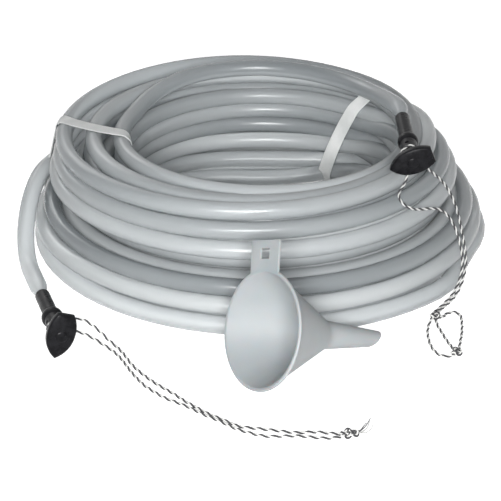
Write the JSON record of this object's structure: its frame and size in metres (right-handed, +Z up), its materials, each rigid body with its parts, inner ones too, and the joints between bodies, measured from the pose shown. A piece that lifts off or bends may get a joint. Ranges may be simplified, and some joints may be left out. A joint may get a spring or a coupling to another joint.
{
  "type": "water level hose",
  "caption": "Hose water level: strapped coil of clear hose with a quarter-turn leaf valve and a hanging cord on each end, and a loose filling funnel.",
  "frame": {"origin": "middle of the part's footprint on the surface it lies on", "axes": "+Z up, along the coil's axis; -Y towards the funnel; +X towards the end whose valve lies on top of the coil"},
  "size_m": [0.389, 0.5233, 0.1229],
  "materials": {
    "clear_hose": "clear soft PVC, glossy",
    "strap": "pale packing strap, satin",
    "valve_black": "black moulded plastic, satin",
    "clip": "black plastic",
    "plug": "smooth grey plastic",
    "seal": "black rubber",
    "cord": "black and white strands twisted together",
    "funnel": "milky moulded plastic, smooth"
  },
  "bodies": {
    "hose_level": {"hose_coil": "clear_hose", "left_hose_end": "clear_hose", "right_hose_end": "clear_hose", "left_strap": "strap", "right_strap": "strap", "left_valve_sleeve": "valve_black", "left_valve_body": "valve_black", "left_retaining_clip": "clip", "right_valve_sleeve": "valve_black", "right_valve_body": "valve_black", "right_retaining_clip": "clip", "left_cord_tie": "cord", "left_cord_upper": "cord", "left_cord_lower": "cord", "left_cord_run": "cord", "left_cord_knot": "cord", "left_cord_tail": "cord", "right_cord_tie": "cord", "right_cord_far": "cord", "right_cord_near": "cord", "right_cord_pair": "cord", "right_cord_knot": "cord", "right_cord_loop": "cord", "right_cord_bight": "cord"},
    "left_handle": {"left_leaf_handle": "valve_black", "left_valve_plug": "plug", "left_plug_seals": "seal"},
    "right_handle": {"right_leaf_handle": "valve_black", "right_valve_plug": "plug", "right_plug_seals": "seal"},
    "funnel": {"funnel": "funnel"}
  },
  "joints": [
    {"name": "left_handle_turn", "type": "hinge", "parent": "hose_level", "child": "left_handle", "pos_m": [-0.1522, -0.1379, 0.01646], "axis": [-0.2885, 0.9555, -0.061], "range_deg": [0, 90]},
    {"name": "right_handle_turn", "type": "hinge", "parent": "hose_level", "child": "right_handle", "pos_m": [0.1205, -0.0204, 0.1098], "axis": [-0.0383, 0.996, 0.0811], "range_deg": [0, 90]},
    {"name": "funnel_lift", "type": "slide", "parent": "hose_level", "child": "funnel", "axis": [0, 0, 1], "range_m": [0, 0.15]}
  ]
}
